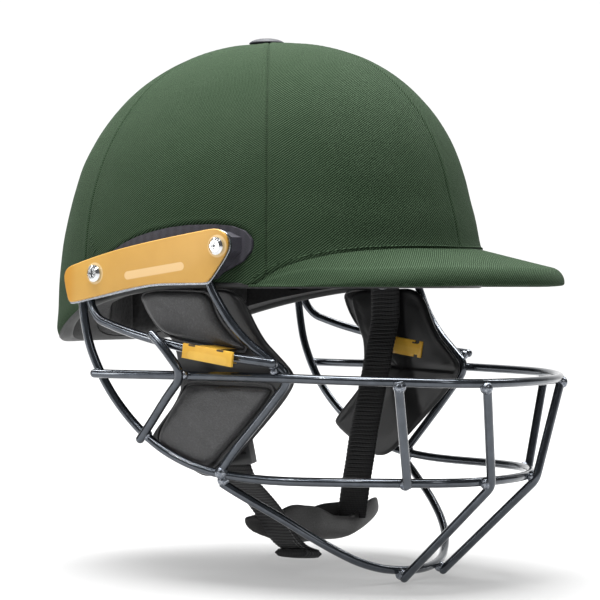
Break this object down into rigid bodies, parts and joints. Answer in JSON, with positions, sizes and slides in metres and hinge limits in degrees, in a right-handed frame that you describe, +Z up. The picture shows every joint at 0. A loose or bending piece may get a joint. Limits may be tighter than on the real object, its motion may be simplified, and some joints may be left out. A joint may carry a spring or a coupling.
{
  "type": "cricket helmet",
  "caption": "Cloth-covered hard-shell cricket helmet with a stiff peak, welded wire face grille on side plates, cheek pads, inner padding and an adjustable chin strap with a soft chin cup.",
  "frame": {"origin": "on the crown button's vertical axis, level with the lower edge of the peak, which is the plane of the head opening", "axes": "+Z up, -Y towards the wearer's front, +X towards the wearer's left"},
  "size_m": [0.2228, 0.305, 0.3017],
  "materials": {
    "shell_plastic": "moulded satin",
    "cap_cloth": "twill cloth",
    "peak_board": "moulded board",
    "button": "glossy",
    "rubber_trim": "matte",
    "foam": "closed cell foam",
    "padding": "soft knitted pad cloth",
    "spacer": "fine textured",
    "flange_metal": "satin",
    "plate_finish": "satin lacquer",
    "chrome_metal": "polished",
    "grille_wire": "gunmetal gloss",
    "pad_leather": "fine grain",
    "clip_plastic": "satin moulded",
    "webbing": "ribbed webbing",
    "cup_leather": "soft grain",
    "buckle_plastic": "moulded"
  },
  "bodies": {
    "helmet": {"cheek_cushion_lower_left": "pad_leather", "cheek_cushion_lower_right": "pad_leather", "cheek_cushion_upper_left": "pad_leather", "cheek_cushion_upper_right": "pad_leather", "cheek_pad_board_left": "pad_leather", "cheek_pad_board_right": "pad_leather", "crown_button": "button", "crown_comfort_pad": "padding", "fabric_cover": "cap_cloth", "front_comfort_pad": "padding", "grille_centre_vertical_left": "grille_wire", "grille_centre_vertical_right": "grille_wire", "grille_chin_bar": "grille_wire", "grille_diagonal_bar_left": "grille_wire", "grille_diagonal_bar_right": "grille_wire", "grille_flange_left": "flange_metal", "grille_flange_right": "flange_metal", "grille_front_upright_left": "grille_wire", "grille_front_upright_right": "grille_wire", "grille_lower_bar": "grille_wire", "grille_outer_vertical_left": "grille_wire", "grille_outer_vertical_right": "grille_wire", "grille_side_bar_left": "grille_wire", "grille_side_bar_right": "grille_wire", "grille_upper_bar": "grille_wire", "grille_welds_left": "grille_wire", "grille_welds_right": "grille_wire", "impact_liner": "foam", "pad_clip_left": "clip_plastic", "pad_clip_right": "clip_plastic", "peak_core": "peak_board", "peak_cover": "cap_cloth", "plate_screws_left": "chrome_metal", "plate_screws_right": "chrome_metal", "rear_comfort_pad": "padding", "rim_binding": "rubber_trim", "shell": "shell_plastic", "side_comfort_pad_left": "padding", "side_comfort_pad_right": "padding", "side_plate_left": "plate_finish", "side_plate_right": "plate_finish", "side_spacer_left": "spacer", "side_spacer_right": "spacer", "strap_bracket_left": "spacer", "strap_bracket_right": "spacer", "strap_rivet_left": "chrome_metal", "strap_rivet_right": "chrome_metal", "tee_nuts_left": "chrome_metal", "tee_nuts_right": "chrome_metal"},
    "chin_strap": {"strap_webbing_left": "webbing", "strap_webbing_right": "webbing", "chin_cup": "cup_leather", "strap_end_hem": "webbing"},
    "strap_buckle": {"strap_buckle": "buckle_plastic"}
  },
  "joints": [
    {"name": "chin_strap_swing", "type": "hinge", "parent": "helmet", "child": "chin_strap", "pos_m": [0, -0.024, 0.003], "axis": [1, 0, 0], "range_deg": [-8, 40]},
    {"name": "strap_buckle_slide", "type": "slide", "parent": "chin_strap", "child": "strap_buckle", "axis": [-0.1961, 0.0786, 0.9774], "range_m": [-0.003, 0.01]}
  ]
}
